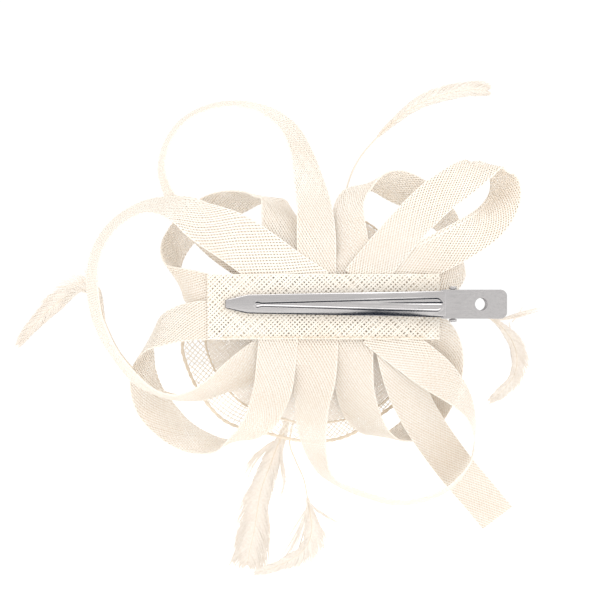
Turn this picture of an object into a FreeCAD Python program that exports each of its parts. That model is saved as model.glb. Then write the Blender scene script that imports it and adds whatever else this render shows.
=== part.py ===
import FreeCAD, Part
import math
import os

# Fascinator headpiece: a flower of bias-cut sinamay strips, two wavy discs and five
# feathers, sewn behind a base strip that sits on a steel duckbill clip.
#
# Millimetres. X runs along the clip towards its levers, Z is up, and Y runs from the
# side that lies against the hair (-Y) to the side that shows when worn (+Y).
# The origin is in the middle of the clip's grip, on the plane where the jaws meet.

V = FreeCAD.Vector
os.makedirs("parts", exist_ok=True)

# ---------------------------------------------------------------- named sizes

# clip
clip_length = 95.0          # tip to the end of the levers
lever_length = 17.4         # from the hinge pin to the end of the levers
jaw_tip_width = 2.7
jaw_nose_length = 7.7       # the pointed nose, up to the shoulders
jaw_nose_width = 6.5
jaw_width = 9.0             # at the hinge
lever_width = 9.8
sheet = 0.55                # steel sheet of both jaws
jaw_gap = 0.3               # left between the two closed jaws
jaw_bow = 4.2               # height of the moving jaw over the grip plane at the hinge
lever_rise = 4.4            # further rise of the moving lever from hinge to end
fixed_lever_drop = 2.2      # how far the fixed lever leans the other way
hinge_y = -2.05             # depth of the hinge pin, on the moving jaw's side
pin_radius = 0.75
pin_proud = 1.0             # pin end past each outer ear
pin_clearance = 0.1
ear_length = 16.0
ear_gap = 0.3               # between the outer and the inner ears
hole_radius = 2.15
hole_from_end = 8.2         # hole centre, from the end of the levers
channel_depth = 0.25
channel_start_width = 1.7
channel_end_width = 5.1
channel_margin = 9.7        # from the tip to where the channel starts
coil_wire = 0.7
coil_turns = 4.5
leg_length = 6.4            # of the spring, along each lever, short of the holes
coil_clearance = 0.35       # between the coil and the pin

# base strip and what holds it
base_length = 79.5
base_width = 22.4
base_thick = 0.8
base_left = -45.4
base_centre_z = -0.9
glue_thick = 0.35
glue_length = 58.0
glue_width = 6.0
glue_x = -4.0               # middle of the glue
hem_inset = 0.7
hem_radius = 0.45

# strips of the flower
strip_width = 13.4
strip_thick = 0.5
layer_gap = 0.2             # between the strip ends piled behind the base

# discs
inner_disc_radius = 35.5
net_disc_radius = 43.5
disc_thick = 0.4
disc_hole = 3.2
disc_x = -10.0
disc_z = -5.5
disc_gap = 2.25             # from the last strip layer to the inner disc
disc_spacing = 3.0          # from the inner disc to the net disc
cord_radius = 0.85          # corded edge of the net disc
stitch_radius = 0.55        # stitched edge of the inner disc

# centre knot on the showing side
knot_radius = 8.0
knot_height = 7.0
knot_shape = 0.82           # its height over its length, seen from the front
knot_stem_clearance = 0.3

# feathers
quill_radius = 0.6

# ----------------------------------------------------- derived places, levels

tip_x = -0.4137 * clip_length          # the grip's middle is the origin
tail_x = tip_x + clip_length
hinge_x = tail_x - lever_length
hole_x = tail_x - hole_from_end

fixed_face = jaw_gap / 2 + sheet
base_face = fixed_face + glue_thick
first_layer = base_face + base_thick + layer_gap + strip_thick / 2
layer_pitch = strip_thick + layer_gap


def under(layer):
    """Depth of the middle of a strip end that lies in the given layer."""
    return first_layer + (layer - 1) * layer_pitch


disc_level = under(5) + strip_thick / 2 + disc_gap

# --------------------------------------------------------------------- tools


def save(name, shape):
    shape.exportStep("parts/" + name + ".step")


def tangents(rows, at):
    """Slope of a smooth curve at each row, for knots spaced as in at."""
    slopes = []
    last = len(rows) - 1
    for i in range(len(rows)):
        a = max(i - 1, 0)
        b = min(i + 1, last)
        span = at[b] - at[a]
        slopes.append([(q - p) / span for p, q in zip(rows[a], rows[b])])
    return slopes


def smooth(rows, count):
    """count + 1 rows spread evenly along a smooth curve through the given rows."""
    at = [0.0]
    for p, q in zip(rows, rows[1:]):
        at.append(at[-1] + math.dist(p[:3], q[:3]))
    slopes = tangents(rows, at)
    fine = []
    for i in range(len(rows) - 1):
        h = at[i + 1] - at[i]
        for k in range(24):
            t = k / 24
            a = 2 * t ** 3 - 3 * t ** 2 + 1
            b = t ** 3 - 2 * t ** 2 + t
            c = 3 * t ** 2 - 2 * t ** 3
            d = t ** 3 - t ** 2
            fine.append([a * p + b * h * m + c * q + d * h * n for p, m, q, n in
                         zip(rows[i], slopes[i], rows[i + 1], slopes[i + 1])])
    fine.append(list(rows[-1]))
    run = [0.0]
    for p, q in zip(fine, fine[1:]):
        run.append(run[-1] + math.dist(p[:3], q[:3]))
    out = []
    j = 0
    for k in range(count + 1):
        goal = run[-1] * k / count
        while j < len(run) - 2 and run[j + 1] < goal:
            j += 1
        t = (goal - run[j]) / (run[j + 1] - run[j])
        out.append([p + t * (q - p) for p, q in zip(fine[j], fine[j + 1])])
    return out


def frames(rows):
    """Place, across-direction and normal at each row (x, y, z, lean in degrees).

    Lean 0 lies flat in the XZ plane, lean 90 stands on edge along Y.
    """
    out = []
    last = len(rows) - 1
    for i, row in enumerate(rows):
        a = rows[max(i - 1, 0)]
        b = rows[min(i + 1, last)]
        run = V(*b[:3]) - V(*a[:3])
        run.normalize()
        flat = V(0, 1, 0).cross(run)
        flat.normalize()
        deep = run.cross(flat)
        lean = math.radians(row[3])
        across = flat * math.cos(lean) + deep * math.sin(lean)
        out.append((V(*row[:3]), across, run.cross(across)))
    return out


def closed_wire(points):
    return Part.makePolygon(points + [points[0]])


def ring(rows, level, section, count=48):
    """A closed, wavy ring round the disc centre.

    rows: angle in degrees, radius and rise over the level at the rim, by hand.
    section: the cross-section as (share of the radius, offset out, offset deep).
    """
    wires = []
    for k in range(count):
        angle = 360 * k / count
        radius, rise = wave(rows, angle)
        turn = math.radians(angle)
        points = []
        for share, out, deep in section:
            r = radius * share + out
            y = level + rise * share ** 2 + deep
            points.append(V(disc_x + r * math.cos(turn), y, disc_z + r * math.sin(turn)))
        wires.append(closed_wire(points))
    return Part.makeLoft(wires, True, True, True)


def wave(rows, angle):
    """Radius and rise of a rim at an angle, eased between the rows."""
    table = rows + [(rows[0][0] + 360, rows[0][1], rows[0][2])]
    for a, b in zip(table, table[1:]):
        if a[0] <= angle <= b[0]:
            t = (angle - a[0]) / (b[0] - a[0])
            t = t * t * (3 - 2 * t)
            return a[1] + t * (b[1] - a[1]), a[2] + t * (b[2] - a[2])
    return rows[0][1], rows[0][2]


def tube(points, radius, sides=8):
    """A thin round thread through the points, as a loft of polygons."""
    wires = []
    last = len(points) - 1
    for i, place in enumerate(points):
        run = points[min(i + 1, last)] - points[max(i - 1, 0)]
        run.normalize()
        side = run.cross(V(0, 1, 0) if abs(run.y) < 0.9 else V(1, 0, 0))
        side.normalize()
        up = side.cross(run)
        spots = []
        for k in range(sides):
            a = 2 * math.pi * k / sides
            spots.append(place + side * (radius * math.cos(a)) + up * (radius * math.sin(a)))
        wires.append(closed_wire(spots))
    return Part.makeLoft(wires, True, True)


def feather(rows, count):
    """Quill and vane in one: (x, y, z, lean, vane width). Thick at the spine, thin at the rim."""
    wires = []
    spots = smooth(rows, count)
    for (place, across, normal), row in zip(frames(spots), spots):
        half = max(row[4] / 2, quill_radius)
        a = across * half
        thin = normal * 0.12
        spine = across * (quill_radius * 0.5)
        thick = normal * quill_radius
        wires.append(closed_wire([place - a - thin, place - spine - thick, place + spine - thick,
                                  place + a - thin, place + a + thin, place + spine + thick,
                                  place - spine + thick, place - a + thin]))
    return Part.makeLoft(wires, True, True)


def slab(outline, thick):
    """A side outline in X and Y, spread to both sides of the clip's middle line."""
    face = Part.Face(closed_wire([V(x, y, -thick / 2) for x, y in outline]))
    return face.extrude(V(0, 0, thick))


def box(x0, x1, y0, y1, z0, z1):
    return Part.makeBox(x1 - x0, y1 - y0, z1 - z0, V(x0, y0, z0))


def cylinder_z(x, y, radius, z0, z1):
    return Part.makeCylinder(radius, z1 - z0, V(x, y, z0), V(0, 0, 1))


# --------------------------------------------------------------------- clip

ear_x0 = hinge_x - ear_length / 4
ear_x1 = ear_x0 + ear_length
moving_face = -jaw_gap / 2


def plan(depth0, depth1):
    """The jaw seen from above, as a solid to trim a side profile with."""
    nose = tip_x + jaw_nose_length
    side = [(tip_x, jaw_tip_width / 2), (nose, jaw_nose_width / 2), (ear_x0, jaw_width / 2),
            (ear_x0 + 0.5, lever_width / 2), (tail_x, lever_width / 2)]
    points = [V(x, depth0, z) for x, z in side]
    points += [V(x, depth0, -z) for x, z in reversed(side)]
    body = Part.Face(closed_wire(points)).extrude(V(0, depth1 - depth0, 0))
    corners = [e for e in body.Edges if abs(e.Vertexes[0].X - tail_x) < 0.01
               and abs(e.Vertexes[-1].X - tail_x) < 0.01
               and abs(e.Vertexes[0].Y - e.Vertexes[-1].Y) > 0.1]
    return body.makeFillet(2.2, corners)


def arc_rows(pairs, count=10):
    """A bowed middle line from a few (x, y) pairs."""
    rows = smooth([[x, y, 0.0] for x, y in pairs], count)
    return [(r[0], r[1]) for r in rows]


def sheet_profile(line, drop):
    """A sheet-metal strip under or over a middle line, drop being the sheet with its sign."""
    return line + [(x, y + drop) for x, y in reversed(line)]


# moving jaw: bowed away from the fixed one, so that only the noses meet
jaw_line = [(tip_x, moving_face), (tip_x + 14, moving_face - 0.5), (-5, moving_face - 1.4),
            (15, moving_face - 2.4), (ear_x0, moving_face - jaw_bow + 0.3)]
lever_line = [(ear_x0, moving_face - jaw_bow + 0.3), (hinge_x, moving_face - jaw_bow),
              (hinge_x + 6, moving_face - jaw_bow - 0.9),
              (tail_x, moving_face - jaw_bow - lever_rise)]
moving_line = arc_rows(jaw_line + lever_line[1:], 24)
moving = slab(sheet_profile(moving_line, -sheet), lever_width + 1)
moving = moving.common(plan(-20, 5))
ear_outer = lever_width / 2
ear_tip = hinge_y + pin_radius + 0.6
ear_side = [(ear_x0 + 0.6, moving_face - jaw_bow - 0.1), (hinge_x - 1.4, ear_tip),
            (hinge_x + 1.4, ear_tip), (ear_x1, moving_face - jaw_bow - 2.4),
            (ear_x1, moving_face - jaw_bow - 3.0), (hinge_x + 5, moving_face - jaw_bow - 1.2),
            (hinge_x, moving_face - jaw_bow - 0.3)]
ear_block = slab(ear_side, lever_width)
ear_block = ear_block.cut(slab(ear_side, lever_width - 2 * sheet))
moving = moving.fuse(ear_block).removeSplitter()
moving = moving.cut(cylinder_z(hinge_x, hinge_y, pin_radius + pin_clearance, -10, 10))
moving = moving.cut(Part.makeCylinder(hole_radius, 30, V(hole_x, -20, 0), V(0, 1, 0)))
channel_end = ear_x0 - 0.4
channel = [V(tip_x + channel_margin, 0, channel_start_width / 2),
           V(tip_x + channel_margin, 0, -channel_start_width / 2),
           V(channel_end - channel_end_width / 2, 0, -channel_end_width / 2),
           V(channel_end - channel_end_width / 2, 0, channel_end_width / 2)]
channel_cut = Part.Face(closed_wire(channel)).extrude(V(0, -20, 0))
channel_cut = channel_cut.fuse(Part.makeCylinder(
    channel_end_width / 2, 20, V(channel_end - channel_end_width / 2, -20, 0), V(0, 1, 0)))
skin = slab([(x, y - sheet + channel_depth) for x, y in moving_line]
            + [(x, y - sheet - 3) for x, y in reversed(moving_line)], lever_width)
moving = moving.cut(channel_cut.common(skin))
save("moving_jaw", moving)

# fixed jaw: straight under the base, with its own ears inside the outer ones
fixed_start = jaw_gap / 2
fixed_line = arc_rows([(tip_x, fixed_start), (0, fixed_start), (hinge_x + 3, fixed_start),
                       (hinge_x + 8, fixed_start + 0.5),
                       (tail_x, fixed_start + fixed_lever_drop)], 16)
fixed = slab(sheet_profile(fixed_line, sheet), lever_width + 1)
inner_ear = ear_outer - sheet - ear_gap
trim = plan(-20, 10)
fixed = fixed.common(trim)
inner_side = [(hinge_x - 4.6, fixed_start + 0.1), (hinge_x - 1.9, hinge_y - pin_radius - 0.55),
              (hinge_x + 1.9, hinge_y - pin_radius - 0.55), (hinge_x + 4.6, fixed_start + 0.1),
              (hinge_x + 4.6, fixed_start + sheet / 2), (hinge_x - 4.6, fixed_start + sheet / 2)]
inner_block = slab(inner_side, 2 * inner_ear)
inner_block = inner_block.cut(slab(inner_side, 2 * (inner_ear - sheet)))
fixed = fixed.fuse(inner_block).removeSplitter()
fixed = fixed.cut(cylinder_z(hinge_x, hinge_y, pin_radius + pin_clearance, -10, 10))
fixed = fixed.cut(Part.makeCylinder(hole_radius, 30, V(hole_x, -20, 0), V(0, 1, 0)))
save("fixed_jaw", fixed)

# hinge pin with two flat heads outside the ears
head_z = ear_outer + ear_gap / 2
pin = cylinder_z(hinge_x, hinge_y, pin_radius, -head_z - pin_proud / 2, head_z + pin_proud / 2)
for end in (-1, 1):
    z0 = head_z if end > 0 else -head_z - pin_proud
    pin = pin.fuse(cylinder_z(hinge_x, hinge_y, pin_radius + 0.55, z0, z0 + pin_proud))
save("hinge_pin", pin.removeSplitter())

# torsion spring: coil round the pin and a leg against each lever
coil_radius = pin_radius + coil_clearance + coil_wire / 2
coil_pitch = coil_wire + 0.12
coil_start = -coil_turns * coil_pitch / 2
coil_points = [V(hinge_x + leg_length, hinge_y - coil_radius - 0.19 * leg_length, coil_start),
               V(hinge_x + leg_length / 2, hinge_y - coil_radius - 0.09 * leg_length, coil_start)]
steps = int(coil_turns * 16)
for k in range(steps + 1):
    a = math.radians(-90) - 2 * math.pi * coil_turns * k / steps
    coil_points.append(V(hinge_x + coil_radius * math.cos(a), hinge_y + coil_radius * math.sin(a),
                         coil_start + coil_pitch * coil_turns * k / steps))
coil_points.append(V(hinge_x + leg_length / 2, hinge_y + coil_radius + 0.017 * leg_length, -coil_start))
coil_points.append(V(hinge_x + leg_length, hinge_y + coil_radius + 0.078 * leg_length, -coil_start))
save("torsion_spring", tube(coil_points, coil_wire / 2, 6))

# ------------------------------------------------------- base, glue and hem

base_right = base_left + base_length
base_low = base_centre_z - base_width / 2
base_high = base_centre_z + base_width / 2
save("base_strip", box(base_left, base_right, base_face, base_face + base_thick,
                       base_low, base_high))
save("clip_glue", box(glue_x - glue_length / 2, glue_x + glue_length / 2, fixed_face,
                      fixed_face + glue_thick, -glue_width / 2, glue_width / 2))
hem_points = []
for k in range(41):
    x = base_left + 5 + (base_length - 10) * k / 40
    hem_points.append(V(x, base_face - hem_radius - 0.05 - 0.15 * (k % 2),
                        base_low + hem_inset + 0.25 * (k % 2)))
save("hem_stitching", tube(hem_points, hem_radius, 6))

# --------------------------------------------------------- strips and loops
# Rows are x, y, z and lean; a fifth value is the width as a share of strip_width.

loop_top = [
    (-7.5, under(2), 3.0, 0), (-8.0, under(2), 12.0, 0), (-8.0, under(2) + 0.1, 20.0, 0),
    (-8.2, 4.6, 27.0, 13), (-8.6, 6.2, 33.5, 25), (-10.5, 8.6, 43.0, 40),
    (-13.3, 11.0, 53.8, 56), (-17.8, 13.0, 62.2, 63), (-25.2, 14.0, 67.8, 70),
    (-35.5, 14.5, 70.4, 74), (-46.2, 15.0, 69.2, 75), (-55.4, 15.5, 64.2, 75),
    (-61.0, 16.6, 56.2, 75), (-62.8, 18.0, 47.8, 75), (-60.2, 19.2, 38.8, 73),
    (-54.0, 16.4, 30.5, 58), (-44.0, 12.2, 22.5, 32), (-33.0, 8.0, 15.5, 12),
    (-23.0, under(5) + 0.5, 9.5, 3), (-17.0, under(5), 5.5, 0)]
loop_left = [
    (-8.0, under(1), 4.0, 0, 1.2), (-19.0, under(1), 10.6, 0, 1.3),
    (-28.0, under(1) + 0.05, 17.0, 0, 1.32), (-36.6, 3.1, 22.9, 8, 1.3),
    (-47.9, 4.4, 28.7, 30, 1.2), (-53.7, 5.0, 32.3, 42, 1.1), (-61.6, 6.3, 34.2, 60, 1.0),
    (-68.8, 7.3, 33.4, 68, 1.0), (-76.4, 8.2, 29.2, 69, 1.0), (-81.4, 8.6, 24.0, 68, 1.0),
    (-84.7, 8.8, 17.6, 67, 1.0), (-86.0, 8.8, 10.8, 66, 1.0), (-85.8, 8.6, 4.0, 66, 1.0),
    (-84.4, 8.2, -4.0, 67, 1.0), (-82.0, 7.8, -10.6, 69, 1.0), (-78.8, 7.4, -16.2, 72, 1.0),
    (-74.9, 7.0, -21.5, 71, 1.0), (-70.5, 6.6, -26.1, 71, 1.0), (-65.0, 6.4, -30.0, 77, 1.0),
    (-58.0, 6.3, -32.3, 79, 1.0), (-51.6, 6.2, -32.0, 73, 1.0), (-47.0, 6.1, -30.6, 64, 1.0),
    (-42.5, 6.0, -28.2, 57, 1.0), (-36.6, 6.0, -24.6, 40, 1.0), (-30.0, 5.4, -20.6, 20, 1.0),
    (-24.5, under(4) + 0.1, -17.2, 4, 1.0), (-19.5, under(4), -14.2, 0, 1.0)]
loop_back_left = [
    (-20.5, under(3), 3.5, 0), (-20.5, under(3), 13.0, 0), (-20.4, 5.6, 21.5, 8),
    (-20.8, 8.5, 30.5, 26), (-23.0, 14.0, 36.5, 65), (-29.0, 19.0, 38.0, 100),
    (-37.0, 23.0, 36.5, 128), (-46.0, 26.3, 33.5, 140), (-53.5, 27.2, 28.0, 138),
    (-58.0, 25.0, 22.0, 132), (-59.6, 19.0, 16.0, 118), (-58.4, 13.5, 10.5, 92),
    (-54.5, 9.0, 7.0, 48), (-49.0, 5.0, 4.6, 14), (-44.0, under(2) + 0.25, 3.3, 0),
    (-38.0, under(2), 2.7, 0)]
loop_lower_left = [
    (-38.0, under(1), -5.6, 0), (-45.5, under(1), -5.6, 0), (-50.0, 2.9, -5.8, 9),
    (-55.5, 4.3, -6.8, 25), (-61.5, 6.2, -9.2, 45), (-65.4, 8.8, -11.8, 70),
    (-67.7, 12.0, -14.8, 90), (-69.0, 15.5, -18.7, 110), (-69.6, 19.0, -24.6, 127),
    (-68.0, 20.5, -32.0, 143), (-64.8, 20.0, -37.6, 154), (-58.8, 18.5, -43.8, 142),
    (-54.4, 17.0, -46.8, 133), (-48.6, 15.0, -49.1, 122), (-42.0, 12.8, -49.8, 103),
    (-36.0, 10.8, -47.5, 75), (-30.5, 8.8, -44.0, 52), (-26.6, 7.0, -39.0, 34),
    (-24.3, 5.2, -33.2, 20), (-22.8, 3.7, -28.0, 9), (-21.9, under(1) + 0.1, -20.0, 0),
    (-21.2, under(1), -13.0, 0), (-20.8, under(1), -7.0, 0)]
loop_top_right = [
    (28.0, under(3), 2.0, 0), (35.0, 4.7, 8.0, 6), (40.5, 9.6, 14.0, 34),
    (42.4, 14.5, 20.0, 78), (40.3, 18.0, 26.5, 116), (34.5, 19.5, 33.0, 138),
    (28.0, 19.7, 38.5, 147), (20.8, 18.5, 41.8, 146), (15.6, 16.5, 43.2, 122),
    (12.0, 14.5, 42.9, 98), (8.2, 12.5, 41.3, 72), (5.0, 10.3, 38.4, 54),
    (3.2, 8.2, 34.3, 44), (2.9, 6.4, 29.0, 34), (3.2, 5.3, 23.0, 20),
    (4.2, under(3) + 0.2, 16.0, 5), (5.0, under(3), 6.0, 0)]
loop_upper_right = [
    (15.0, under(2), 8.5, 180), (22.5, under(2), 12.3, 180), (31.0, 3.2, 16.2, 179),
    (39.3, 3.8, 20.4, 176), (46.0, 5.2, 24.2, 168), (52.0, 8.6, 28.6, 158),
    (56.3, 13.0, 33.8, 148), (58.5, 17.4, 39.5, 140), (57.8, 18.8, 45.2, 118),
    (53.5, 15.0, 49.0, 82), (48.8, 10.8, 47.6, 45), (44.8, 8.4, 45.0, 28),
    (40.4, 7.0, 41.9, 19), (35.2, 6.0, 38.3, 13), (30.5, 5.1, 34.2, 10),
    (25.3, 4.2, 29.0, 7), (20.2, under(1) + 0.4, 23.4, 3), (15.4, under(1), 17.8, 0),
    (10.8, under(1), 12.3, 0), (7.0, under(1), 7.5, 0)]
loop_bottom = [
    (-8.2, under(2), -4.5, 0, 1.1), (-8.2, under(2), -12.0, 0, 1.12),
    (-8.3, under(2) + 0.1, -20.0, 0, 1.1), (-8.9, 4.9, -27.7, 14, 1.08),
    (-9.6, 5.6, -34.5, 30, 1.0), (-9.7, 6.6, -41.4, 40, 1.0), (-9.2, 7.6, -47.2, 50, 1.0),
    (-7.9, 8.4, -52.7, 60, 1.0), (-5.6, 8.8, -58.0, 70, 1.0), (-1.8, 8.8, -61.8, 78, 1.0),
    (4.1, 8.6, -64.6, 76, 1.0), (11.0, 8.3, -67.0, 76, 1.0), (18.8, 7.9, -68.9, 75, 1.0),
    (25.7, 7.5, -68.6, 75, 1.0), (32.5, 7.0, -66.7, 75, 1.0), (38.3, 6.5, -63.4, 76, 1.0),
    (42.4, 6.1, -59.2, 78, 1.0), (45.2, 5.8, -54.7, 82, 1.0), (46.5, 5.6, -49.8, 84, 1.0),
    (46.5, 5.4, -43.8, 80, 1.0), (45.2, 5.1, -38.0, 70, 1.0), (42.4, 4.7, -32.9, 55, 1.0),
    (38.3, 4.1, -28.4, 38, 1.0), (32.8, 3.1, -23.8, 16, 1.0), (26.7, under(1) + 0.05, -19.2, 1),
    (20.5, under(1), -14.6, 0, 1.0), (15.4, under(1), -10.7, 0, 1.0),
    (12.0, under(1), -8.0, 0, 1.0)]
tail_rows = [
    (17.8, under(2), -9.0, 0), (19.2, under(2) + 0.2, -15.7, 0), (20.9, 4.5, -22.6, 2),
    (23.6, 7.0, -30.4, 4), (27.4, 9.2, -38.0, 5), (32.1, 11.2, -45.5, 6),
    (37.3, 13.7, -52.7, 8), (43.0, 15.8, -60.0, 8), (48.6, 17.6, -66.5, 8),
    (56.5, 19.2, -76.0, 8)]
tail_end_x = 53.2
loop_lower_right = [
    (4.6, under(3), -5.0, 0), (4.8, under(3), -14.0, 0), (4.9, 5.2, -22.6, 6),
    (5.6, 6.8, -31.0, 14), (8.2, 9.0, -38.8, 30), (12.9, 12.0, -45.0, 60),
    (18.8, 16.6, -47.2, 96), (25.6, 20.0, -45.0, 125), (31.5, 20.0, -39.7, 138),
    (35.2, 18.0, -33.2, 142), (37.3, 14.8, -26.0, 144), (37.2, 11.6, -18.8, 150),
    (34.8, 7.8, -12.8, 166), (31.0, under(4) + 0.3, -8.8, 180), (27.0, under(4), -6.0, 180)]


def widths(rows):
    """Give every row its width share."""
    return [tuple(row) if len(row) == 5 else tuple(row) + (1.0,) for row in rows]


def ribbon(rows, count):
    """A strip whose width follows the fifth value of its rows."""
    wires = []
    spots = smooth(widths(rows), count)
    for (place, across, normal), row in zip(frames(spots), spots):
        a = across * (strip_width * row[4] / 2)
        n = normal * (strip_thick / 2)
        wires.append(closed_wire([place - a - n, place + a - n, place + a + n, place - a + n]))
    return Part.makeLoft(wires, True, True)


save("loop_top", ribbon(loop_top, 34))
save("loop_left", ribbon(loop_left, 40))
save("loop_back_left", ribbon(loop_back_left, 32))
save("loop_lower_left", ribbon(loop_lower_left, 34))
save("loop_top_right", ribbon(loop_top_right, 30))
save("loop_upper_right", ribbon(loop_upper_right, 32))
save("loop_bottom", ribbon(loop_bottom, 40))
save("loop_lower_right", ribbon(loop_lower_right, 30))
tail = ribbon(tail_rows, 16)
tail = tail.cut(box(tail_end_x, 100, 0, 60, -120, 0))
save("tail_strip", tail)

# -------------------------------------------------------------------- discs

inner_rim = [(0, 1.04, 6.8), (30, 1.07, 6.0), (60, 1.10, 6.6), (90, 1.01, 5.8),
             (120, 0.91, 6.2), (150, 0.84, 5.6), (175, 0.99, 6.4), (197, 1.06, 7.0),
             (227, 1.06, 6.0), (252, 1.01, 6.8), (280, 1.02, 6.0), (308, 1.08, 6.8),
             (335, 1.06, 6.0)]
net_rim = [(0, 0.97, 8.2), (30, 0.92, 7.2), (60, 0.86, 7.8), (90, 0.83, 7.0),
           (120, 0.77, 7.4), (150, 0.71, 6.8), (172, 0.90, 7.8), (195, 1.06, 8.6),
           (226, 1.07, 7.8), (253, 0.97, 7.2), (283, 0.98, 7.0), (306, 0.95, 8.8),
           (335, 0.99, 7.6)]
disc_stations = [0.0, 0.4, 0.7, 1.0]    # shares of the radius, from the hole outwards


def disc_section(radius):
    """Cross-section from the hole to the rim, thin and following the dish."""
    half = disc_thick / 2
    near = [(max(share, disc_hole / radius), 0.0, -half) for share in disc_stations]
    far = [(share, out, half) for share, out, deep in reversed(near)]
    return near + far


def cord_section(radius):
    """A round cord just outside the rim."""
    points = []
    for k in range(8):
        a = 2 * math.pi * k / 8
        points.append((1.0, radius + 0.08 + radius * math.cos(a), radius * math.sin(a)))
    return points


def scaled(rows, radius):
    return [(angle, share * radius, rise) for angle, share, rise in rows]


inner_rows = scaled(inner_rim, inner_disc_radius)
net_rows = scaled(net_rim, net_disc_radius)
net_level = disc_level + disc_spacing
save("inner_disc", ring(inner_rows, disc_level, disc_section(inner_disc_radius)))
save("inner_edge", ring(inner_rows, disc_level, cord_section(stitch_radius)))
save("net_disc", ring(net_rows, net_level, disc_section(net_disc_radius)))
save("net_edge", ring(net_rows, net_level, cord_section(cord_radius)))

# ------------------------------------------------------------------ feathers

root = net_level + disc_thick / 2 + quill_radius + 1.4
feathers = {
    "feather_top_right": [
        (-5, root, 5, 0, 1.0), (-1, 16.6, 20, 0, 1.0), (1.2, 20.8, 31, 0, 1.0),
        (3.6, 23.2, 43.5, 0, 1.0), (7.5, 24, 52, 0, 1.2), (13, 24, 59.2, 0, 1.6),
        (20.5, 24, 67, 0, 3.6), (29, 24, 72.5, 0, 5.0), (39.5, 24, 76, 0, 4.4),
        (48, 24, 77.3, 0, 3.0), (53.7, 24, 76.4, 0, 1.2)],
    "feather_left": [
        (-20, root + 0.4, -12, 0, 1.0), (-38, 20.5, -24, 0, 1.0), (-50, 25, -31.5, 0, 1.0),
        (-60, 27.5, -32.5, 0, 1.0), (-70, 28, -27, 0, 1.0), (-78.5, 26, -17.5, 0, 1.0),
        (-83.5, 22, -6, 0, 1.2), (-86.0, 20, 2, 0, 2.4), (-90.5, 19.5, 4.8, 0, 4.6),
        (-97.5, 19.5, 2, 0, 4.6), (-104.3, 19.5, -3.4, 0, 3.2), (-110, 19.5, -9.8, 0, 2.6),
        (-114.6, 19.5, -15.9, 0, 1.2)],
    "feather_right": [
        (1.5, root, -6, 0, 1.0), (14, 16.2, -5.2, 0, 1.0), (26, 19.9, -4.6, 0, 1.0),
        (36, 22, -4.4, 0, 1.0), (46, 22, -4.4, 0, 1.0), (54, 22, -5.0, 0, 1.4),
        (59, 22, -7.8, 0, 3.6), (62.2, 22, -12, 0, 4.6), (63.8, 22, -17, 0, 4.4),
        (63.4, 22, -22, 0, 3.8), (60.2, 22, -28, 0, 3.4), (53.6, 22, -34.4, 0, 1.2)],
    "feather_bottom_left": [
        (-14.5, root, -15, 0, 1.0), (-17, 20, -31, 0, 1.0), (-19.5, 23, -45, 0, 1.6),
        (-23.0, 23.5, -55, 0, 6.0), (-25.8, 23.5, -64, 0, 8.4), (-28.5, 23.5, -73, 0, 11.0),
        (-30.6, 23.5, -82, 0, 11.4), (-32.0, 23.5, -89, 0, 8.0), (-32.6, 23.5, -94, 0, 2.0)],
    "feather_bottom_right": [
        (-9.5, root, -15, 0, 1.0), (-13.5, 18.2, -33, 0, 1.0), (-17.4, 20.5, -49, 0, 1.0),
        (-14.9, 19.6, -58.5, 0, 1.2), (-11.9, 18, -65, 0, 1.8), (-10.6, 17, -72, 0, 5.0),
        (-11.2, 16.5, -79.5, 0, 8.4), (-14.0, 16, -85.5, 0, 8.0), (-18.8, 15.5, -90, 0, 6.0),
        (-24.2, 15, -93.2, 0, 3.6), (-30.0, 15, -94.8, 0, 1.2)]}
for name, rows in feathers.items():
    save(name, feather(rows, 26))

# -------------------------------------------------------------- centre knot

knot_level = net_level + disc_thick / 2 + knot_stem_clearance
knot = Part.makeSphere(knot_radius)
flatten = FreeCAD.Matrix()
flatten.scale(V(1.0, knot_height / (2 * knot_radius), knot_shape))
knot = knot.transformGeometry(flatten)
knot.translate(V(disc_x, knot_level + knot_height / 2, disc_z))
save("centre_knot", knot)
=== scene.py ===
# %% [markdown]
# A fascinator headpiece, seen from the side that lies against the hair. It is a flower of
# curled strips of open-weave fibre, two wavy discs and a few cut feathers, all sewn behind
# a short base strip that sits on a steel duckbill clip. The measured frame comes first, so
# that every piece made here goes where the mechanism says.

# %% Load the frame
import math
import random

import bmesh
import bpy
import numpy as np
from mathutils import Matrix, Vector


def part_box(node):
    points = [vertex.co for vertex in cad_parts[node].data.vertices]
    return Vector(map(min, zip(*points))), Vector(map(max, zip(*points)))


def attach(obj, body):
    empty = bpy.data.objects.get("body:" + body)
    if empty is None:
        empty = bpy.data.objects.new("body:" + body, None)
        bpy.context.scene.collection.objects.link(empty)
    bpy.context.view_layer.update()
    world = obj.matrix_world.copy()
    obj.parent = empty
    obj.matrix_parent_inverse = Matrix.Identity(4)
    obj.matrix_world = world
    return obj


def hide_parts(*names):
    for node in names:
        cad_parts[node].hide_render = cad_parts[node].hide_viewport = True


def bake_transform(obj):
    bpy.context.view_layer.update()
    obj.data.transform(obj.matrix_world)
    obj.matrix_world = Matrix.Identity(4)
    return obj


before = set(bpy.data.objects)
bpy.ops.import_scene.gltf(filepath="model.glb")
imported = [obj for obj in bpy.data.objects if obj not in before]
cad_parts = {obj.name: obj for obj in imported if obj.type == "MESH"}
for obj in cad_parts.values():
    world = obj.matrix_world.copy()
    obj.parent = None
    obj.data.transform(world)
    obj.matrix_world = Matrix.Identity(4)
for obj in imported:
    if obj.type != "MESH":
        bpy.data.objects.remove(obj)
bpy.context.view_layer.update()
mm = 0.001

# %% [markdown]
# A camera at the height of the clip looks straight along +Y, because that is the side this
# piece is shown from. A long lens keeps the loops from swelling towards the viewer.

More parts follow.
